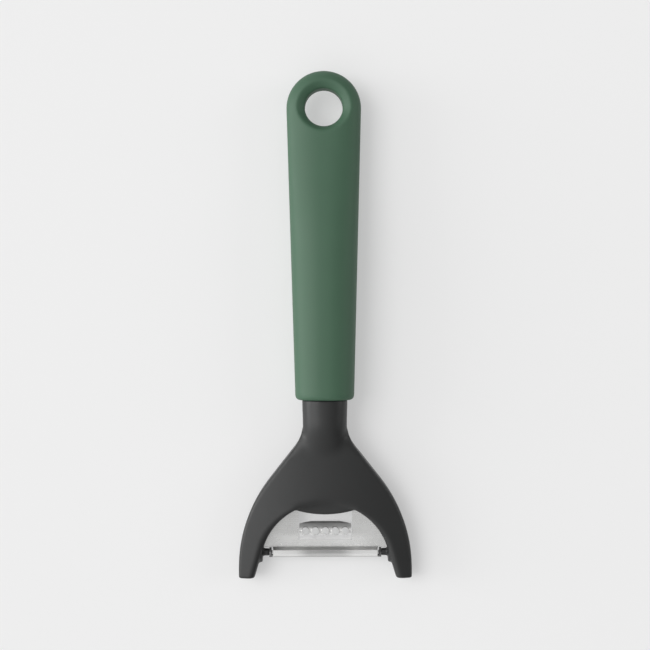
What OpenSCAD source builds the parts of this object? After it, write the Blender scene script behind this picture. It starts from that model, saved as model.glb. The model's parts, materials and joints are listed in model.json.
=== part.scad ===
// Y-peeler with a zester: a moulded grip, a forked head, a fixed steel plate and a swivel blade.
// It lies on its back, grip towards +Y, with the floor at z = 0 and the origin under its middle.

/* [Grip] */
// Length of the grip, from its round end to the neck
grip_length = 114.7; // [100:0.1:130]
// Width across the round end
grip_width = 26.1; // [24:0.1:30]
// Width where the neck leaves it
grip_neck_width = 20.5; // [19.6:0.1:24]
// Thickness along the hand
grip_thickness = 18; // [17:0.1:21]
// Thickness round the hanging hole
grip_end_thickness = 12; // [10:0.1:14]
// Distance from the hole at which the grip starts to thin
grip_taper = 50; // [30:1:70]
// Roundness of the grip's section, where 2 is an ellipse
grip_roundness = 2.4; // [2:0.1:3]
// Radius on the edge at the neck end
grip_edge = 1.5; // [0.8:0.1:2]

/* [Hanging hole] */
// Diameter of the hole
hole_d = 13.2; // [8:0.1:14]
// Width of the hollow round the hole
rim_width = 3; // [1.5:0.1:3.5]
// Depth of the hollow at the sides
rim_depth = 2.4; // [1.2:0.1:2.6]
// How much narrower the hollow is towards the hand
rim_tuck = 0.9; // [0:0.1:1.2]

/* [Neck and tang] */
// Length of neck between the grip and the shoulders
neck_length = 8.1; // [6:0.1:12]
// Width of the neck at the grip
neck_width = 15.8; // [14:0.1:17.5]
// Thickness of the neck at the grip
neck_thickness = 13; // [11:0.1:14.5]
// How much narrower each side of the neck is at its waist
neck_waist = 0.2; // [0:0.05:0.8]
// Width of the tang inside the grip
tang_width = 10; // [7:0.1:12]
// Thickness of the tang inside the grip
tang_thickness = 7; // [5:0.1:8]
// Length of the tang inside the grip
tang_length = 62; // [40:1:75]

/* [Fork] */
// Width of each arm at its tip
arm_width = 5.5; // [5:0.1:6.5]
// Radius of the arms' outer curve
flare_radius = 49.7; // [48:0.1:54]
// Slope of the shoulders from the handle's line
shoulder_angle = 38.2; // [36:0.1:42]
// Radius between the neck and the shoulders
shoulder_fillet = 13.7; // [9:0.1:15]
// Straight end of each arm's outer side
tip_straight = 3.7; // [2:0.1:5]
// Thickness of the fork on its centre line
fork_thickness = 12.2; // [11.8:0.1:13]
// Radius of the crown across the fork's front
crown_radius = 110; // [90:1:160]
// Gap between the blade's end and the arch
arch_gap = 3.05; // [2.9:0.05:3.6]
// Height of the arch's centre above the tips
arch_rise = 4; // [3.4:0.1:4.6]
// Angle at which the arch runs on into the straight inner walls
arch_spread = 16.5; // [14:0.5:18]
// Radius on the outer edges
outer_edge = 1; // [0.5:0.1:1.3]
// Radius on the arch's front edge at the top of the arch
arch_edge = 1; // [0.6:0.1:1.5]
// Radius on the arch's front edge down the arms
arm_edge = 2.2; // [1.2:0.1:2.4]

/* [Zest lip] */
// How far the lip hangs below the top of the arch, on the centre line
lip_drop = 4.1; // [3.4:0.1:4.6]
// Radius of the lip's lower edge
lip_radius = 36; // [30:0.5:50]
// Radius of the scoop's upper edge in the fork's front
scoop_radius = 21.5; // [19:0.1:22.5]
// How far the scoop runs into the fork past the top of the arch
scoop_cut = 1.1; // [0.6:0.1:1.6]
// Width of the soft slope at the scoop's upper edge
scoop_slope = 2.6; // [2:0.1:3.5]
// Depth of the scoop on the centre line
scoop_depth = 1.6; // [1:0.1:3]
// Radius on the lip's lower edge
lip_edge = 0.6; // [0.3:0.1:0.8]

/* [Zester plate] */
// Thickness of the steel
plate_thickness = 0.6; // [0.4:0.1:0.8]
// Gap between the blade's eyes and the plate's lower edge
plate_clearance = 0.2; // [0.2:0.05:0.6]
// How far the plate is moulded into the fork
plate_inset = 3; // [2:0.1:3.5]
// Width of the tongue
tongue_width = 18.2; // [17:0.1:19]
// Gap beside the tongue
tongue_gap = 0.35; // [0.2:0.05:0.6]
// Height of the tongue's root above the plate's lower edge
tongue_root = 2.2; // [1.8:0.1:2.6]
// Radius where the tongue leaves the plate
root_radius = 3.2; // [2.6:0.1:3.6]
// Slope of the ramp up to the crest
ramp_slope = 28; // [22:1:32]
// Length of the straight ramp
ramp_run = 0.5; // [0.2:0.1:0.8]
// Radius of the crest that the holes are pierced through
crest_radius = 2.8; // [2.6:0.1:3]
// Slope of the roof down from the crest
roof_slope = 30; // [26:1:34]
// Length of the straight roof
roof_run = 1.4; // [1:0.1:1.6]
// Radius of the tongue's curled end
curl_radius = 1.6; // [1.2:0.1:2]
// Slope at which the curled end stops
curl_end = 62; // [50:1:68]
// Radius of the tongue's bowed free edge
tongue_bow = 36; // [30:1:60]
// How far the window runs on behind the lip
window_cover = 1.4; // [0.8:0.1:2]
// Number of zest holes
zest_holes = 5; // [3:1:5]
// Spacing of the zest holes
zest_pitch = 3.5; // [3.2:0.05:3.8]
// Diameter of a zest hole
zest_d = 2.6; // [2:0.1:2.7]
// Height of the raised cutting rim round a zest hole
zest_rim = 0.35; // [0.2:0.05:0.5]

/* [Blade] */
// Height of the blade's pivot above the tips
pivot_rise = 8.8; // [8.5:0.1:8.8]
// Height of the blade's pivot above the floor
pivot_z = 4.9; // [4.8:0.1:5.2]
// Outer radius of the blade's curved section
blade_radius = 4.8; // [4.6:0.1:4.9]
// Thickness of the blade's steel
blade_thickness = 0.7; // [0.5:0.1:0.8]
// Half of the angle that the curved section spans
blade_half_angle = 68; // [60:1:70]
// Distance from the pivot to the blade's outer face
blade_drop = 1.75; // [1.6:0.05:1.8]
// Length of the blade between the outer faces of its ears
blade_length = 39.3; // [38:0.1:40]
// Width of the slot that the peel passes through
slot_width = 2.6; // [2:0.1:3]
// Steel left at each end of the slot
slot_margin = 3.4; // [3:0.1:5]
// Bevel ground along each edge of the slot
slot_bevel = 0.45; // [0.3:0.05:0.5]
// Outer radius of the eye at each end
eye_radius = 1.6; // [1.5:0.05:1.6]

/* [Pivot] */
// Diameter of the journal that the blade turns on
journal_d = 1.8; // [1.5:0.1:1.9]
// Clearance round the journal
journal_clearance = 0.05; // [0.03:0.01:0.08]
// Diameter of the shoulder beside the journal
shoulder_d = 2.6; // [2.3:0.1:3]
// Clearance between the shoulder and the eye
end_clearance = 0.1; // [0.05:0.05:0.3]
// Length of pin between each ear and its boss
pin_gap = 2.35; // [1.8:0.05:2.6]
// Diameter of each boss at its face
boss_d = 7; // [6:0.1:7.4]

/* [Hidden] */

grip_green = [0.22, 0.40, 0.29];
head_black = [0.10, 0.11, 0.11];
steel = [0.78, 0.78, 0.77];

// Fineness of curves, and of the skinned grip, neck and fork
$fn = 96;
ring_points = 64;
grip_steps = 20;
neck_steps = 12;
corner_steps = 4;
face_steps = 7;
rim_steps = 5;
wall_steps = 3;
arch_steps = 24;
eps = 0.01;

// Small sizes that the outside hardly shows
tip_round = 0.5;
front_ease = 2.2;
front_run = 6.5;
back_ease = 6.5;
back_run = 12;
neck_roundness = 2.4;
sink_run = 18;
neck_sink = 5.2;
neck_lift = 2;
neck_tuck = 1.5;
tang_root = 3;
tang_chamfer = 1.2;
rim_power = 1.3;
rim_lead = 0.08;
rim_overcut = 0.5;
edge_run = 0.7;
boss_sink = 3;
journal_overrun = 0.3;
boss_flare = 1;
zest_wall = 0.15;
zest_tilt = -4;
web_slant = 1.6;
edge_slant = 1;

// Half widths
neck_half = neck_width / 2;
grip_half = grip_width / 2;
blade_half = blade_length / 2;

// Arch that clears the blade, and the foot where it runs on into the straight inner walls
arch_radius = blade_half + arch_gap;
foot = [arch_radius * cos(arch_spread), arch_rise + arch_radius * sin(arch_spread)];
span_half = foot.x + foot.y * tan(arch_spread) + arm_width;

// Fork outline: a curve, a straight shoulder and a fillet into the neck's waist
waist_half = neck_half - neck_waist;
flare_end = [span_half - flare_radius * (1 - cos(shoulder_angle)),
             tip_straight + flare_radius * sin(shoulder_angle)];
shoulder_run = (flare_end.x - waist_half) / tan(shoulder_angle);
fillet_tangent = shoulder_fillet * tan(shoulder_angle / 2);
fork_height = flare_end.y + shoulder_run + fillet_tangent;

// Stations along the handle, with the middle of the whole length at y = 0
overall = grip_length + neck_length + fork_height;
y_tip = -overall / 2;
y_fork = y_tip + fork_height;
y_grip = y_fork + neck_length;
y_end = overall / 2;
y_hole = y_end - grip_half;
y_arch = y_tip + arch_rise;
y_pivot = y_tip + pivot_rise;
y_plate = y_pivot + eye_radius + plate_clearance;
y_top = y_arch + arch_radius;
y_lip = y_top - lip_drop;
y_scoop = y_top + scoop_cut - scoop_radius;

// Levels across the thickness
z_mid = grip_thickness / 2;
plate_z = pivot_z;
plate_top = plate_z + plate_thickness / 2;

function clamp(t) = max(0, min(1, t));
function ease(t) = let (c = clamp(t)) c * c * (3 - 2 * c);
function mix(a, b, t) = a + (b - a) * t;

// A closed ring of points round an oval section that stands across the handle
function oval(y, half, low, high, power) =
    [for (i = [0 : ring_points - 1])
        let (a = 360 * i / ring_points, c = cos(a), s = sin(a))
        [half * sign(c) * pow(abs(c), 2 / power), y,
         mix(low, high, (1 + sign(s) * pow(abs(s), 2 / power)) / 2)]];

// Skins a list of equal rings into a closed solid, with a flat face at each end
module skin(rings) {
    count = len(rings[0]);
    last = len(rings) - 1;
    points = [for (ring = rings) each ring];
    sides = [for (r = [0 : last - 1], i = [0 : count - 1])
        let (a = r * count + i, b = r * count + (i + 1) % count)
        each [[a, b, b + count], [a, b + count, a + count]]];
    ends = [[for (i = [count - 1 : -1 : 0]) i], [for (i = [0 : count - 1]) last * count + i]];
    polyhedron(points, concat(sides, ends), convexity = 6);
}

// Grip: thick along the hand, thinner and level at its round end, and narrower towards the neck
hand_end = y_hole - grip_taper;
level_start = y_hole - grip_half;

function grip_low(y) =
    (grip_thickness - grip_end_thickness) / 2 * ease((y - hand_end) / (level_start - hand_end));
function grip_half_at(y) =
    mix(grip_neck_width / 2, grip_half, clamp((y - y_grip) / (y_hole - y_grip)));
function grip_ring(y, inset) =
    oval(y, grip_half_at(y) - inset, grip_low(y) + inset,
         grip_thickness - grip_low(y) - inset, grip_roundness);

module grip_body() {
    rounded = [for (a = [90 : -22.5 : 0])
        grip_ring(y_grip + grip_edge * (1 - sin(a)), grip_edge * (1 - cos(a)))];
    along = [for (i = [1 : grip_steps]) grip_ring(mix(y_grip + grip_edge, y_hole, i / grip_steps), 0)];
    skin(concat(rounded, along));
}

// The round end is half of the grip's own section, turned about the hole
module grip_round_end() {
    ring = grip_ring(y_hole, 0);
    quarter = ring_points / 4;
    translate([0, y_hole, 0])
        rotate_extrude(angle = 180)
            polygon([for (i = [-quarter : quarter])
                let (p = ring[(i + ring_points) % ring_points])
                [abs(i) == quarter ? 0 : p.x, p.z]]);
}

// Height of the grip's front above its middle, near the hanging hole
function crest_at(x, y) =
    let (r = y > y_hole ? norm([x, y - y_hole]) : abs(x))
    (z_mid - grip_low(y)) * pow(1 - pow(r / grip_half_at(y), grip_roundness), 1 / grip_roundness);

// Hollow round the hole, from just above the grip's front to just past the bore's wall
rim_floor = z_mid + crest_at(hole_d / 2 + rim_width, y_hole) - rim_depth;

function rim_ring(across, down) =
    [for (i = [0 : ring_points - 1])
        let (a = 360 * i / ring_points, out = [cos(a), sin(a)],
             outer = hole_d / 2 + rim_width - rim_tuck * ease(-sin(a)),
             edge_z = z_mid + crest_at(outer * out.x, y_hole + outer * out.y) + rim_lead,
             r = mix(outer, hole_d / 2 - rim_overcut, across))
        [r * out.x, y_hole + r * out.y, mix(edge_z, rim_floor, down)]];

module rim_cutter() {
    above = [for (p = rim_ring(0, 0)) [p.x, p.y, grip_thickness + 1]];
    hollow = [for (i = [0 : rim_steps])
        let (a = 90 * i / rim_steps)
        rim_ring(pow(sin(a), 2 / rim_power), 1 - pow(cos(a), 2 / rim_power))];
    skin(concat([above], hollow));
}

// The bar of the head that the grip is moulded round
module tang() {
    w = tang_width / 2;
    h = tang_thickness / 2;
    c = tang_chamfer;
    translate([0, y_grip - tang_root, z_mid])
        rotate([-90, 0, 0])
            linear_extrude(tang_length + tang_root)
                polygon([[w - c, -h], [w, c - h], [w, h - c], [w - c, h],
                         [c - w, h], [-w, h - c], [-w, c - h], [c - w, -h]]);
}

module grip() {
    color(grip_green)
    difference() {
        union() {
            grip_body();
            grip_round_end();
        }
        translate([0, y_hole, -1]) cylinder(d = hole_d, h = grip_thickness + 2);
        rim_cutter();
        translate([0, 0, grip_thickness]) mirror([0, 0, 1]) rim_cutter();
        tang();
    }
}

// Fork: its front is crowned from side to side, and both faces ease into the neck
function neck_ease(y, run) = 1 - ease((y_fork - y) / run);
function fork_top(p) =
    fork_thickness - p.x * p.x / (2 * crown_radius) - front_ease * neck_ease(p.y, front_run);
function fork_low(p) = back_ease * neck_ease(p.y, back_run);

// Inner edge of the right arm: up its straight wall, then round the arch
arch_foot = [foot.x, y_tip + foot.y];
function wall_at(y) = [arch_foot.x + (arch_foot.y - y) * tan(arch_spread), y];
function arch_at(a) = [0, y_arch] + arch_radius * [cos(a), sin(a)];

// Outer edge of the right arm, by the distance run along it from the tip
flare_centre = [span_half - flare_radius, y_tip + tip_straight];
fillet_centre = [waist_half + shoulder_fillet, y_fork];
flare_run = tip_straight + flare_radius * shoulder_angle * PI / 180;
slope_run = flare_run + shoulder_run / cos(shoulder_angle) - fillet_tangent;
fillet_run = slope_run + shoulder_fillet * shoulder_angle * PI / 180;
outer_run = fillet_run + waist_half;

function flare_at(a) = flare_centre + flare_radius * [cos(a), sin(a)];
function outer_at(d) =
    d < tip_straight ? [span_half, y_tip + d]
    : d < flare_run ? flare_at((d - tip_straight) / flare_radius * 180 / PI)
    : d < slope_run ? let (run = d - flare_run)
        flare_at(shoulder_angle) + run * [-sin(shoulder_angle), cos(shoulder_angle)]
    : d < fillet_run ? let (a = 180 + (fillet_run - d) / shoulder_fillet * 180 / PI)
        fillet_centre + shoulder_fillet * [cos(a), sin(a)]
    : [max(0, outer_run - d), y_fork];
function outer_distance(y) =
    y < flare_centre.y ? y - y_tip
    : tip_straight + flare_radius * asin((y - flare_centre.y) / flare_radius) * PI / 180;

// A rib runs from the inner edge to the outer one: [inner, outer, inset, front edge radius]
tip_ribs = [for (a = [90, 45, 0])
    let (y = y_tip + tip_round * (1 - sin(a)), inset = tip_round * (1 - cos(a)))
    [wall_at(y) + [inset, 0], outer_at(y - y_tip) - [inset, 0], inset, arm_edge]];
wall_ribs = [for (i = [1 : wall_steps])
    let (y = mix(y_tip + tip_round, arch_foot.y, i / wall_steps))
    [wall_at(y), outer_at(outer_distance(y)), 0, arm_edge]];
arch_ribs = [for (i = [1 : arch_steps])
    let (t = i / arch_steps)
    [arch_at(mix(arch_spread, 90, t)), outer_at(mix(outer_distance(arch_foot.y), outer_run, t)), 0,
     mix(arm_edge, arch_edge, ease(t / edge_run))]];
right_ribs = concat(tip_ribs, wall_ribs, arch_ribs);

// The closed section that stands on a rib: back face, outer side, front face, inner side
function rib_ring(rib) =
    let (length = norm(rib[1] - rib[0]), along = (rib[1] - rib[0]) / length,
         inset = rib[2], front = rib[3], edge = outer_edge, turn = 90 / corner_steps)
    [for (side = [
        for (a = [0 : turn : 90]) [edge * (1 - cos(a)), 0, edge * (1 - sin(a))],
        for (i = [1 : face_steps - 1]) [mix(edge, length - edge, i / face_steps), 0, 0],
        for (a = [0 : turn : 90]) [length - edge * (1 - sin(a)), 0, edge * (1 - cos(a))],
        for (a = [0 : turn : 90]) [length - edge * (1 - cos(a)), 1, -edge * (1 - sin(a))],
        for (i = [1 : face_steps - 1]) [mix(length - edge, front, i / face_steps), 1, 0],
        for (a = [0 : turn : 90]) [front * (1 - sin(a)), 1, -front * (1 - cos(a))]])
        let (p = rib[0] + along * side[0])
        [p.x, p.y, (side[1] == 0 ? fork_low(p) + inset : fork_top(p) - inset) + side[2]]];

function mirrored(ring) = [for (p = ring) [-p.x, p.y, p.z]];

module fork() {
    right = [for (rib = right_ribs) rib_ring(rib)];
    last = len(right) - 1;
    skin(concat(right, [for (i = [last - 1 : -1 : 0]) mirrored(right[i])]));
}

// Neck: leaves the grip, narrows to a waist and sinks into the fork
function neck_ring(y) =
    let (waist = ease((y_grip - y) / neck_length), sink = ease((y_fork - y) / sink_run),
         half = neck_half - neck_waist * waist - neck_tuck * sink)
    oval(y, half, z_mid - neck_thickness / 2 + neck_lift * sink,
         z_mid + neck_thickness / 2 - neck_sink * sink, neck_roundness);

module neck() {
    low = y_fork - sink_run;
    skin([for (i = [0 : neck_steps]) neck_ring(mix(low, y_grip, i / neck_steps))]);
}

// Boss and stub pin on the inner side of the right arm
module pivot_boss() {
    face = blade_half + pin_gap;
    seat = wall_at(y_pivot).x + boss_sink;
    shoulder = blade_half + end_clearance;
    pin_end = blade_half - blade_thickness - journal_overrun;
    translate([0, y_pivot, pivot_z])
        rotate([0, 90, 0]) {
            translate([0, 0, face]) cylinder(d1 = boss_d, d2 = boss_d + boss_flare, h = seat - face);
            translate([0, 0, shoulder]) cylinder(d = shoulder_d, h = seat - shoulder);
            translate([0, 0, pin_end]) cylinder(d = journal_d, h = seat - pin_end);
        }
}

// Lip that overhangs the plate's window, with its front in the floor of the scoop
scoop_floor = fork_thickness - scoop_depth;

module zest_lip() {
    foot_z = plate_top;
    turn = [for (a = [0 : 30 : 90]) [lip_radius - lip_edge * (1 - cos(a)), scoop_floor - lip_edge * (1 - sin(a))]];
    intersection() {
        translate([0, y_lip + lip_radius, 0])
            rotate_extrude()
                polygon(concat([[0, foot_z], [lip_radius, foot_z]], turn, [[0, scoop_floor]]));
        translate([-arch_radius / 2, y_lip - 1, 0])
            cube([arch_radius, y_top + 2 - y_lip, fork_thickness]);
    }
}

module scoop() {
    floor_r = scoop_radius - scoop_slope;
    above = fork_thickness + 1;
    slope = [for (i = [0 : 12])
        [mix(floor_r, scoop_radius, i / 12), mix(scoop_floor, fork_thickness, ease(i / 12))]];
    translate([0, y_scoop, 0])
        rotate_extrude()
            polygon(concat([[0, scoop_floor]], slope, [[scoop_radius, above], [0, above]]));
}

module head() {
    color(head_black)
    difference() {
        union() {
            fork();
            neck();
            tang();
            zest_lip();
            pivot_boss();
            mirror([1, 0, 0]) pivot_boss();
        }
        scoop();
        plate_sheet();
    }
}

// Zester plate: a stamped sheet with a window, moulded into the arch
y_root = y_plate + tongue_root;
window_half = tongue_width / 2 + tongue_gap;

module plate_sheet() {
    outer = arch_radius + plate_inset;
    difference() {
        intersection() {
            translate([0, y_arch, plate_z - plate_thickness / 2]) cylinder(r = outer, h = plate_thickness);
            translate([-outer, y_plate, 0]) cube([2 * outer, 2 * outer, fork_thickness]);
        }
        translate([-window_half, y_root, 0])
            cube([2 * window_half, y_lip + window_cover - y_root, fork_thickness]);
    }
}

// The tongue's middle line from its root, as [along, up, slope]: a hollow bend, a ramp, the crest,
// a roof and the curled end. Each bend starts at the point before it.
function bend(from, radius, to, steps) =
    [for (i = [1 : steps])
        let (slope = mix(from.z, to, i / steps), turn = to > from.z ? 1 : -1)
        [from.x + turn * radius * (sin(slope) - sin(from.z)),
         from.y - turn * radius * (cos(slope) - cos(from.z)), slope]];
function straight(from, run) = [from.x + run * cos(from.z), from.y + run * sin(from.z), from.z];
function last(list) = list[len(list) - 1];

hollow_line = bend([0, 0, 0], root_radius, ramp_slope, 5);
ramp_end = straight(last(hollow_line), ramp_run);
crest_line = bend(ramp_end, crest_radius, -roof_slope, 10);
roof_end = straight(last(crest_line), roof_run);
curl_line = bend(roof_end, curl_radius, -curl_end, 4);
tongue_line = concat([[-tongue_root / 2, 0, 0], [0, 0, 0]], hollow_line, [ramp_end], crest_line,
                     [roof_end], curl_line);
crest_centre = [ramp_end.x, ramp_end.y] + crest_radius * [sin(ramp_slope), -cos(ramp_slope)];

function line_side(side) =
    [for (p = tongue_line) [p.x, p.y] + side * plate_thickness / 2 * [-sin(p.z), cos(p.z)]];

module tongue() {
    lower = line_side(-1);
    tip = last(tongue_line).x + plate_thickness;
    intersection() {
        translate([-tongue_width / 2, y_root, plate_z])
            rotate([90, 0, 90])
                linear_extrude(tongue_width)
                    polygon(concat(line_side(1), [for (i = [len(lower) - 1 : -1 : 0]) lower[i]]));
        translate([0, y_root + tip - tongue_bow, 0]) cylinder(r = tongue_bow, h = fork_thickness);
    }
}

// Stands its children at one zest hole, square to the crest
module at_zest_hole(i) {
    translate([(i - (zest_holes - 1) / 2) * zest_pitch, y_root + crest_centre.x, plate_z + crest_centre.y])
        rotate([zest_tilt, 0, 0])
            translate([0, 0, crest_radius])
                children();
}

module zester_plate() {
    rim_d = zest_d + 4 * zest_wall;
    color(steel)
    difference() {
        union() {
            plate_sheet();
            tongue();
            for (i = [0 : zest_holes - 1])
                at_zest_hole(i)
                    translate([0, 0, -plate_thickness / 2])
                        cylinder(d1 = rim_d, d2 = zest_d + zest_wall, h = plate_thickness + zest_rim);
        }
        for (i = [0 : zest_holes - 1])
            at_zest_hole(i)
                cylinder(d = zest_d, h = 4 * plate_thickness, center = true);
    }
}

// Blade: a curved strip with a ground slot and a bent ear with an eye at each end
y_web = y_pivot - blade_drop;
y_blade_arc = y_web + blade_radius;

module along_x(r, length) {
    rotate([0, 90, 0]) cylinder(r = r, h = length, center = true);
}

module curved_wall(length) {
    translate([0, y_blade_arc, pivot_z])
        difference() {
            along_x(blade_radius, length);
            along_x(blade_radius - blade_thickness, length + 2);
        }
}

module blade_strip() {
    back = y_blade_arc - blade_radius * cos(blade_half_angle);
    long = blade_half - edge_slant;
    short = blade_half - web_slant;
    intersection() {
        curved_wall(blade_length);
        linear_extrude(2 * blade_radius + pivot_z)
            polygon([[-short, y_web - eps], [short, y_web - eps], [long, back], [-long, back]]);
    }
}

// Ear at the right end: a tab of the strip, bent up square round the journal
module ear() {
    tab = web_slant + 1;
    intersection() {
        curved_wall(blade_length);
        translate([blade_half - tab, y_web - 1, pivot_z - eye_radius])
            cube([tab, blade_drop, 2 * eye_radius]);
    }
    intersection() {
        translate([blade_half - blade_thickness, y_pivot, pivot_z])
            union() {
                rotate([0, 90, 0]) cylinder(r = eye_radius, h = blade_thickness);
                translate([0, -blade_drop, -eye_radius])
                    cube([blade_thickness, blade_drop, 2 * eye_radius]);
            }
        translate([0, y_blade_arc, pivot_z]) along_x(blade_radius, blade_length);
    }
}

module slot() {
    half = blade_half - slot_margin - slot_width / 2;
    depth = 3 * blade_thickness;
    bevel = slot_bevel * sqrt(2);
    translate([0, y_web, pivot_z]) {
        cube([2 * half, depth, slot_width], center = true);
        for (side = [-1, 1]) {
            translate([side * half, 0, 0])
                rotate([90, 0, 0]) cylinder(d = slot_width, h = depth, center = true);
            translate([0, blade_thickness, side * slot_width / 2])
                rotate([45, 0, 0])
                    cube([2 * half, bevel, bevel], center = true);
        }
    }
}

module blade() {
    color(steel)
    difference() {
        union() {
            blade_strip();
            ear();
            mirror([1, 0, 0]) ear();
        }
        slot();
        translate([0, y_pivot, pivot_z]) along_x(journal_d / 2 + journal_clearance, blade_length + 2);
    }
}

grip();
head();
zester_plate();
blade();
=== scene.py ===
from functools import partial
import json
import math

import bmesh
import bpy
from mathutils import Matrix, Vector


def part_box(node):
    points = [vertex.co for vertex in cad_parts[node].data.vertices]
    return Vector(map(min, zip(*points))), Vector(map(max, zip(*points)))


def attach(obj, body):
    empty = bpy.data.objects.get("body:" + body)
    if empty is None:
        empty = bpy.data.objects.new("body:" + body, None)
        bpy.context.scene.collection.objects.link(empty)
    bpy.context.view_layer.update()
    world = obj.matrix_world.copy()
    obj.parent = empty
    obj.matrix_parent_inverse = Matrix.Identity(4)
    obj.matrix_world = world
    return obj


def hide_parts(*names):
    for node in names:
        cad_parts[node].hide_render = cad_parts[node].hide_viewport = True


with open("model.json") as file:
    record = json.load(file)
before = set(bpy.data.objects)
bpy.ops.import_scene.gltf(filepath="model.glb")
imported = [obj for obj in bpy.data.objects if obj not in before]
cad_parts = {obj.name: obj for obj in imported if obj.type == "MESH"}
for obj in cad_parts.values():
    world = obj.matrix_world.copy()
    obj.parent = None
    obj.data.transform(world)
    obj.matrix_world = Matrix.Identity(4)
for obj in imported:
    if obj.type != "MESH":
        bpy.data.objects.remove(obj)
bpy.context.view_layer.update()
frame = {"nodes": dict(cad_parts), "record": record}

# Head: fork, neck, tang and the two bosses with their stub pins are one injection moulding in
# glass-filled nylon, charcoal all through. The mould's spark-eroded walls leave a fine dry grain,
# every edge keeps a small radius, and the two mould halves meet in a thin line round its side.
MM = 0.001
head_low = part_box("head")[0]
grip_low, grip_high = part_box("grip")
handle_middle = (grip_low.z + grip_high.z) / 2

# The steel plate is a segment of a disc, and its rim lies in the moulding all round the arch. The
# middle of its sheet is level with the blade's pivot.
plate_low, plate_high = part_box("zester_plate")
plate_thickness = 0.6 * MM
plate_bottom = frame["record"]["behaviour"]["joints"][0]["pos_m"][2] - plate_thickness / 2
plate_depth = plate_high.y - plate_low.y
rim_radius = (plate_high.x ** 2 + plate_depth ** 2) / (2 * plate_depth)
rim_inset = 3 * MM
arch_radius = rim_radius - rim_inset
arch_centre = Vector((0, plate_high.y - rim_radius, 0))


def plate_bed():
    """The band of moulding that grips the plate's rim: a flat ring round the arch. Its inner face is
    a hair behind the arch's own wall, and it ends just short of the plate's straight front edge."""
    wall = 0.4 * MM
    hair = 0.02 * MM
    short_of_front = math.radians(1)
    inner, outer = arch_radius + hair, rim_radius + wall
    low, high = plate_bottom - wall, plate_bottom + plate_thickness + wall
    start = math.asin((plate_low.y - arch_centre.y) / inner) + short_of_front
    along = Vector((math.cos(start), math.sin(start), 0))
    corners = [(inner, low), (outer, low), (outer, high), (inner, high)]
    bed = bmesh.new()
    points = [bed.verts.new(arch_centre + r * along + Vector((0, 0, z))) for r, z in corners]
    end = bed.faces.new(points)
    bmesh.ops.spin(bed, geom=[end] + end.edges[:] + end.verts[:], cent=arch_centre, axis=(0, 0, 1),
                   angle=math.pi - 2 * start, steps=96, use_duplicate=False)
    mesh = bpy.data.meshes.new("plate_bed")
    bed.to_mesh(mesh)
    bed.free()
    return mesh


def ease(piece, name, passes):
    """Eases a surface: each pass draws every point towards the middle of its neighbours."""
    easing = piece.modifiers.new(name, "SMOOTH")
    easing.factor = 0.5
    easing.iterations = passes
    return easing


def moulded(name, solids, cell):
    """One even skin over closed solids, with the sharp edges eased as a mould eases them."""
    together = bmesh.new()
    for solid in solids:
        together.from_mesh(solid)
    rough = bpy.data.meshes.new(name + "_rough")
    together.to_mesh(rough)
    together.free()
    carrier = bpy.data.objects.new(name + "_rough", rough)
    bpy.context.scene.collection.objects.link(carrier)
    skin = carrier.modifiers.new("skin", "REMESH")
    skin.mode = "VOXEL"
    skin.voxel_size = cell
    ease(carrier, "eased", passes=8)
    bpy.context.view_layer.update()
    ready = carrier.evaluated_get(bpy.context.evaluated_depsgraph_get())
    mesh = bpy.data.meshes.new_from_object(ready)
    bpy.data.objects.remove(carrier)
    bpy.data.meshes.remove(rough)
    mesh.name = name
    for face in mesh.polygons:
        face.use_smooth = True
    piece = bpy.data.objects.new(name, mesh)
    bpy.context.scene.collection.objects.link(piece)
    return piece


head = moulded("head_moulding", [frame["nodes"]["head"].data, plate_bed()], cell=0.3 * MM)


def ramp(value, start, end):
    """0 at start and 1 at end, smooth between them."""
    share = min(max((value - start) / (end - start), 0), 1)
    return share * share * (3 - 2 * share)


def blend_by_hand(piece, name, weight, passes):
    """Softer transitions where the mould was dressed by hand: weight(point, normal) is 0 to 1."""
    group = piece.vertex_groups.new(name=name)
    for vertex in piece.data.vertices:
        share = weight(vertex.co, vertex.normal)
        if share > 0:
            group.add([vertex.index], share, "REPLACE")
    ease(piece, name, passes).vertex_group = name


lip_drop = 4.1 * MM
lip_radius = 36 * MM
lip_centre = Vector((0, arch_centre.y + arch_radius - lip_drop + lip_radius, 0))


def scoop(point, normal):
    """The front dips to the lip over the arch, where only the lip's own edge stays crisp."""
    flat = Vector((point.x, point.y, 0))
    from_arch = abs((flat - arch_centre).length - arch_radius)
    inside_lip = lip_radius - (flat - lip_centre).length
    near_arch = ramp(from_arch, 4.5 * MM, 1.5 * MM)
    off_lip_edge = ramp(inside_lip, 0.4 * MM, 1.6 * MM)
    on_front = ramp(normal.z, 0.2, 0.5)
    return near_arch * off_lip_edge * on_front


foot_centre = Vector((0, grip_low.y - 14 * MM, 0))
foot_half_width = 14 * MM
foot_half_length = 13 * MM


def neck_root(point, normal):
    """The round neck runs out in an oval foot on both faces of the fork."""
    reach = math.hypot(point.x / foot_half_width, (point.y - foot_centre.y) / foot_half_length)
    in_foot = ramp(reach, 1.0, 0.55)
    on_face = ramp(abs(normal.z), 0.25, 0.6)
    return in_foot * on_face


blend_by_hand(head, "scoop", scoop, passes=90)
blend_by_hand(head, "neck_root", neck_root, passes=200)


def new_group(name, inputs, outputs):
    """A node group with named sockets, the values it is given and the sockets for what it makes."""
    group = bpy.data.node_groups.new(name, "ShaderNodeTree")
    for label, kind, value in inputs:
        socket = group.interface.new_socket(label, in_out="INPUT", socket_type="NodeSocket" + kind)
        socket.default_value = value
    for label, kind in outputs:
        group.interface.new_socket(label, in_out="OUTPUT", socket_type="NodeSocket" + kind)
    given = group.nodes.new("NodeGroupInput").outputs
    made = group.nodes.new("NodeGroupOutput").inputs
    return group, given, made


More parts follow.
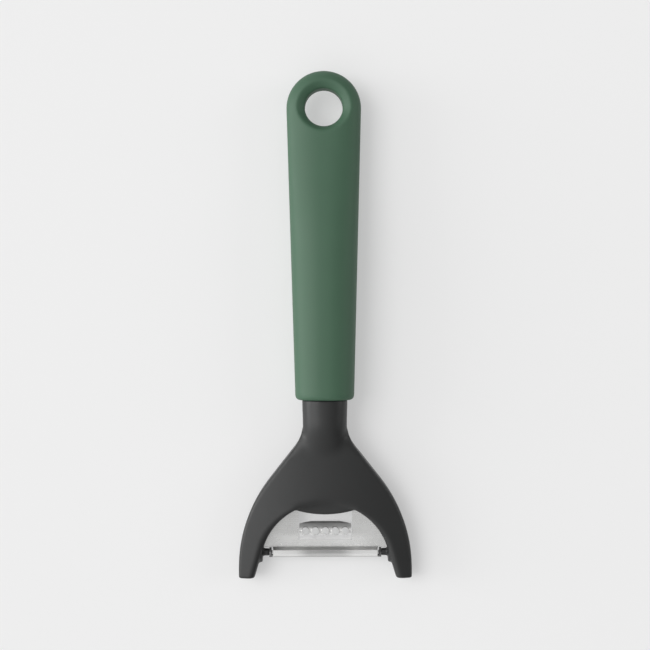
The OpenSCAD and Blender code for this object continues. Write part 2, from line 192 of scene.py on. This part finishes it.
def feed(tree, socket, value):
    """Links an output to a socket, or sets a plain number on it."""
    if isinstance(value, bpy.types.NodeSocket):
        tree.links.new(value, socket)
    else:
        socket.default_value = value


def math_node(tree, kind, first, second=0.0):
    """The result of a Math node that is fed by outputs or plain numbers."""
    node = tree.nodes.new("ShaderNodeMath")
    node.operation = kind
    feed(tree, node.inputs[0], first)
    feed(tree, node.inputs[1], second)
    return node.outputs[0]


def arithmetic(tree):
    """Plus, minus, times and over for one tree: each takes two outputs or numbers."""
    return [partial(math_node, tree, kind) for kind in ("ADD", "SUBTRACT", "MULTIPLY", "DIVIDE")]


def split(tree, vector):
    """The X, Y and Z of a place or a direction."""
    node = tree.nodes.new("ShaderNodeSeparateXYZ")
    tree.links.new(vector, node.inputs[0])
    return node.outputs


def mask(tree, value, start, end):
    """0 where the value is at start and 1 where it is at end, smooth between them."""
    node = tree.nodes.new("ShaderNodeMapRange")
    node.interpolation_type = "SMOOTHSTEP"
    node.inputs["From Min"].default_value = start
    node.inputs["From Max"].default_value = end
    tree.links.new(value, node.inputs["Value"])
    return node.outputs["Result"]


def unevenness(tree, place, a_metre, detail, roughness=0.5):
    """Noise from -0.5 to 0.5, with so many grains or clouds a metre."""
    node = tree.nodes.new("ShaderNodeTexNoise")
    node.inputs["Detail"].default_value = detail
    node.inputs["Roughness"].default_value = roughness
    tree.links.new(place, node.inputs["Vector"])
    feed(tree, node.inputs["Scale"], a_metre)
    return math_node(tree, "SUBTRACT", node.outputs["Fac"], 0.5)


def toned(tree, color, brightness):
    """A colour made lighter or darker, where a brightness of 1 leaves it as it is."""
    node = tree.nodes.new("ShaderNodeHueSaturation")
    tree.links.new(brightness, node.inputs["Value"])
    tree.links.new(color, node.inputs["Color"])
    return node.outputs["Color"]


def mould_grain_group():
    """Spark-eroded mould wall: a fine dry grain, a cloudy tone, and the parting line at one height."""
    group, given, made = new_group(
        "Mould grain",
        [("Color", "Color", (0.5, 0.5, 0.5, 1)), ("Cloud", "Float", 0.08),
         ("Grain size", "Float", 0.25 * MM), ("Grain depth", "Float", 0.01 * MM),
         ("Roughness", "Float", 0.55), ("Parting height", "Float", 0.0)],
        [("Color", "Color"), ("Roughness", "Float"), ("Height", "Float")])
    plus, minus, times, over = arithmetic(group)
    place = group.nodes.new("ShaderNodeTexCoord").outputs["Object"]
    grain = unevenness(group, place, over(1.0, given["Grain size"]), detail=3, roughness=0.6)
    cloud = times(unevenness(group, place, 140, detail=4), given["Cloud"])
    from_parting = math_node(group, "ABSOLUTE", minus(split(group, place)["Z"], given["Parting height"]))
    parting_line = mask(group, from_parting, 0.12 * MM, 0.03 * MM)
    grain_in_gloss = 0.12

    group.links.new(toned(group, given["Color"], plus(cloud, 1.0)), made["Color"])
    uneven = plus(times(grain, grain_in_gloss), cloud)
    group.links.new(plus(given["Roughness"], uneven), made["Roughness"])
    group.links.new(times(plus(grain, parting_line), given["Grain depth"]), made["Height"])
    return group


def finished(name, surface_values, group, group_values):
    """A material that takes its colour, roughness and fine relief, in metres, from a node group."""
    material = bpy.data.materials.new(name)
    material.use_nodes = True
    nodes, links = material.node_tree.nodes, material.node_tree.links
    surface = nodes["Principled BSDF"]
    for label, value in surface_values.items():
        surface.inputs[label].default_value = value
    finish = nodes.new("ShaderNodeGroup")
    finish.node_tree = group
    for label, value in group_values.items():
        finish.inputs[label].default_value = value
    relief = nodes.new("ShaderNodeBump")
    relief.inputs["Distance"].default_value = 1.0
    links.new(finish.outputs["Height"], relief.inputs["Height"])
    links.new(finish.outputs["Color"], surface.inputs["Base Color"])
    links.new(finish.outputs["Roughness"], surface.inputs["Roughness"])
    links.new(relief.outputs["Normal"], surface.inputs["Normal"])
    return material


mould_grain = mould_grain_group()
head.data.materials.append(finished("charcoal_nylon", {"IOR": 1.52}, mould_grain, {
    "Color": (0.0145, 0.0151, 0.0151, 1), "Cloud": 0.10, "Grain size": 0.22 * MM,
    "Grain depth": 0.012 * MM, "Roughness": 0.46, "Parting height": head_low.z + 5 * MM}))
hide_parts("head")
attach(head, "handle")

# Grip: a muted green polypropylene handle, moulded over the head's tang in a second shot. It has
# a soft matte feel, a hanging hole through its thin round end, and a clean square shut-off edge
# where the mould sealed against the neck.
grip = moulded("grip_moulding", [frame["nodes"]["grip"].data], cell=0.38 * MM)
grip.data.materials.append(finished("green_matte_grip", {"IOR": 1.49}, mould_grain, {
    "Color": (0.0525, 0.120, 0.0715, 1), "Cloud": 0.08, "Grain size": 0.26 * MM,
    "Grain depth": 0.010 * MM, "Roughness": 0.56, "Parting height": handle_middle}))
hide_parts("grip")
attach(grip, "handle")

# Zester plate: 0.6 mm stainless strip, blanked with its window, bent into a curled tongue and
# pierced upwards so that each hole keeps a sharp raised rim. It is moulded into the arch.
plate = frame["nodes"]["zester_plate"]
plate.data.materials.clear()


def rolled_steel_group():
    """Rolled strip: drawn lines along X, a cloudy tone, a faint springy wave, a painted dark reflection
    across the middle, a painted highlight along the front, painted shade on the ends and along the
    front edge, a dull inside, and a matt bend where the tool stretched it, painted paler as a highlight."""
    group, given, made = new_group(
        "Rolled steel",
        [("Color", "Color", (0.8, 0.8, 0.8, 1)), ("Shade colour", "Color", (0.2, 0.2, 0.2, 1)),
         ("Ends from", "Float", 1.0), ("Edge to", "Float", -1.0), ("Edge shade", "Float", 1.0),
         ("Middle", "Float", 0.0), ("Front highlight", "Float", 0.0), ("Inside", "Float", 0.0),
         ("Bend matt and highlight", "Float", 0.0), ("Roughness", "Float", 0.3), ("Line depth", "Float", 0.004 * MM),
         ("Wave slope", "Float", 0.0), ("Wave length", "Float", 30 * MM), ("Wave start", "Float", 0.0)],
        [("Color", "Color"), ("Roughness", "Float"), ("Height", "Float")])
    plus, minus, times, over = arithmetic(group)
    coordinates = group.nodes.new("ShaderNodeTexCoord").outputs
    place, facing = split(group, coordinates["Object"]), split(group, coordinates["Normal"])
    from_middle = math_node(group, "ABSOLUTE", place["X"])
    from_edge = minus(place["Y"], given["Edge to"])

    # The lines are fine noise drawn out along X
    drawn = group.nodes.new("ShaderNodeMapping")
    drawn.inputs["Scale"].default_value = (0.12, 6, 6)
    group.links.new(coordinates["Object"], drawn.inputs["Vector"])
    lines = unevenness(group, drawn.outputs["Vector"], 1000, detail=4)
    cloud = unevenness(group, coordinates["Object"], 260, detail=3)
    cloud_share, line_share = 0.10, 0.08
    uneven = plus(times(cloud, cloud_share), times(lines, line_share))

    # Where each mark begins and where it is whole; the colour marks are painted shade and highlight
    # Painted shade: the strip goes dark grey over its ends
    shaded_ends = mask(group, minus(from_middle, given["Ends from"]), 0.0, 0.8 * MM)
    # Painted shade: the strip goes dark grey along its front edge
    shaded_edge = times(mask(group, from_edge, 0.0, -0.2 * MM), given["Edge shade"])
    painted_shade = math_node(group, "MAXIMUM", shaded_ends, shaded_edge)
    inside = times(mask(group, facing["Y"], 0.05, 0.3), given["Inside"])
    matt_bend_highlight = times(mask(group, facing["Y"], -0.1, -0.3), given["Bend matt and highlight"])
    # Painted dark reflection: the colour darkens across the middle
    dark_middle_reflection = times(mask(group, from_middle, 11 * MM, 5 * MM), given["Middle"])
    # Painted highlight: the colour is paler along the front
    front_highlight_area = times(mask(group, from_edge, 5.5 * MM, 2.5 * MM), mask(group, from_middle, 23 * MM, 8 * MM))
    front_highlight = times(front_highlight_area, given["Front highlight"])
    # Painted highlight: the forward-facing bend is painted paler as well as made matt
    bend_highlight_share = 0.5
    shade_rougher = 0.25

    painted_highlight = plus(front_highlight, times(matt_bend_highlight, bend_highlight_share))
    brightness = minus(plus(plus(uneven, 1.0), painted_highlight), dark_middle_reflection)
    shade_mix = group.nodes.new("ShaderNodeMix")
    shade_mix.data_type = "RGBA"
    group.links.new(painted_shade, shade_mix.inputs["Factor"])
    group.links.new(toned(group, given["Color"], brightness), shade_mix.inputs["A"])
    group.links.new(given["Shade colour"], shade_mix.inputs["B"])
    group.links.new(shade_mix.outputs["Result"], made["Color"])

    dull = plus(times(painted_shade, shade_rougher), plus(inside, matt_bend_highlight))
    group.links.new(plus(plus(given["Roughness"], uneven), dull), made["Roughness"])

    turns = over(minus(place["X"], given["Wave start"]), given["Wave length"])
    rise = math_node(group, "SINE", times(turns, math.tau))
    wave = times(rise, times(given["Wave slope"], over(given["Wave length"], math.tau)))
    group.links.new(plus(times(lines, given["Line depth"]), wave), made["Height"])
    return group


rolled_steel = rolled_steel_group()
# The plate's front edge carries painted shade, and its front and forward-facing bend a painted highlight
plate.data.materials.append(finished("plate_steel_satin", {"Metallic": 1.0}, rolled_steel, {
    "Color": (0.79, 0.79, 0.78, 1), "Edge to": plate_low.y + 0.3 * MM, "Edge shade": 0.4,
    "Front highlight": 0.24, "Inside": 0.12, "Bend matt and highlight": 0.4, "Roughness": 0.27, "Line depth": 0.004 * MM,
    "Wave slope": 0.03, "Wave length": 90 * MM, "Wave start": 22 * MM}))

# Blade: hardened stainless strip, formed to a shallow trough, with a long slot whose edges are
# ground to a bevel and an ear at each end that snaps on the head's stub pins. Painted shade darkens
# the ears and the front edge, and a painted dark reflection runs across the middle.
blade = frame["nodes"]["blade"]
blade_low, blade_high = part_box("blade")
blade.data.materials.clear()
blade.data.materials.append(finished("blade_steel_satin", {"Metallic": 1.0}, rolled_steel, {
    "Color": (0.82, 0.82, 0.81, 1), "Shade colour": (0.16, 0.16, 0.16, 1), "Ends from": blade_high.x - 1.7 * MM,
    "Edge to": blade_low.y + 0.7 * MM, "Edge shade": 0.45, "Middle": 0.30, "Inside": 0.35,
    "Roughness": 0.24, "Line depth": 0.003 * MM, "Wave slope": -0.12, "Wave length": 32 * MM}))

# Studio: a white paper floor between a high and a low soft box on the left and a weak one on the
# right, in a white room that fades to the right and to the back. The camera looks straight down
# on the peeler.
bpy.ops.mesh.primitive_plane_add(size=3)
floor = bpy.context.object
floor.name = "paper_floor"
paper = bpy.data.materials.new("paper")
paper.use_nodes = True
paper_tree = paper.node_tree
paper_surface = paper_tree.nodes["Principled BSDF"]
paper_surface.inputs["Base Color"].default_value = (0.82, 0.82, 0.82, 1)
paper_surface.inputs["Roughness"].default_value = 0.9
paper_surface.inputs["Specular IOR Level"].default_value = 0.2

# The camera and reflections see this share of the paper as plain white, without its shadows
white_share = 0.4
paper_white = paper_tree.nodes.new("ShaderNodeEmission")
paper_white.inputs["Strength"].default_value = 0.945
ray = paper_tree.nodes.new("ShaderNodeLightPath").outputs
seen = math_node(paper_tree, "MAXIMUM", ray["Is Camera Ray"], ray["Is Glossy Ray"])
seen_paper = paper_tree.nodes.new("ShaderNodeMixShader")
paper_tree.links.new(math_node(paper_tree, "MULTIPLY", seen, white_share), seen_paper.inputs["Fac"])
paper_tree.links.new(paper_surface.outputs["BSDF"], seen_paper.inputs[1])
paper_tree.links.new(paper_white.outputs["Emission"], seen_paper.inputs[2])
paper_tree.links.new(seen_paper.outputs["Shader"], paper_tree.nodes["Material Output"].inputs["Surface"])
floor.data.materials.append(paper)

room = bpy.data.worlds.new("room")
room.use_nodes = True


def fade(tree, direction, first, last):
    """The room's strength, from first where the direction is -1 to last where it is 1."""
    node = tree.nodes.new("ShaderNodeMapRange")
    node.inputs["From Min"].default_value = -1
    node.inputs["To Min"].default_value = first
    node.inputs["To Max"].default_value = last
    tree.links.new(direction, node.inputs["Value"])
    return node.outputs["Result"]


room_tree = room.node_tree
towards = split(room_tree, room_tree.nodes.new("ShaderNodeTexCoord").outputs["Generated"])
left_to_right = fade(room_tree, towards["X"], 1.06, 0.0)
front_to_back = fade(room_tree, towards["Y"], 1.25, 0.75)
lit = math_node(room_tree, "MULTIPLY", left_to_right, front_to_back)

# Past the floor's edge the camera sees a plain white near to the paper's
room_ray = room_tree.nodes.new("ShaderNodeLightPath").outputs
backdrop = room_tree.nodes.new("ShaderNodeMix")
backdrop.inputs["B"].default_value = 0.87
room_tree.links.new(room_ray["Is Camera Ray"], backdrop.inputs["Factor"])
room_tree.links.new(lit, backdrop.inputs["A"])
room_tree.links.new(backdrop.outputs["Result"], room_tree.nodes["Background"].inputs["Strength"])
room_tree.nodes["Background"].inputs["Color"].default_value = (1, 1, 1, 1)
bpy.context.scene.world = room

box_distance = 4


def soft_box(name, watts, size, azimuth, elevation):
    """A square soft box that faces the peeler: its size is in metres and its angles in degrees."""
    light = bpy.data.lights.new(name, "AREA")
    light.energy = watts
    light.size = size
    around, up = math.radians(azimuth), math.radians(elevation)
    way = Vector((math.cos(up) * math.cos(around), math.cos(up) * math.sin(around), math.sin(up)))
    lamp = bpy.data.objects.new(name, light)
    lamp.location = box_distance * way
    lamp.rotation_euler = (-way).to_track_quat("-Z", "Y").to_euler()
    bpy.context.scene.collection.objects.link(lamp)


soft_box("low_left_box", watts=54, size=1.7, azimuth=175, elevation=14)
soft_box("high_left_box", watts=61, size=2.3, azimuth=165, elevation=56)
soft_box("low_right_box", watts=25, size=1.7, azimuth=10, elevation=25)

# The photo takes in this width at the height of the handle's middle. Its own middle is a hair off
# the peeler's, and the peeler lies turned in it by a fifth of a degree, here in radians.
seen_width = 226.9 * MM
seen_middle = Vector((0.17 * MM, 0.01 * MM, handle_middle))
seen_turn = -0.0035
camera_height = 450 * MM
camera = bpy.data.cameras.new("camera")
camera.lens = camera.sensor_width * camera_height / seen_width
camera.clip_start = 10 * MM
view = bpy.data.objects.new("camera", camera)
view.location = seen_middle + Vector((0, 0, camera_height))
view.rotation_euler.z = seen_turn
bpy.context.scene.collection.objects.link(view)
bpy.context.scene.camera = view
bpy.context.scene.view_settings.view_transform = "Standard"
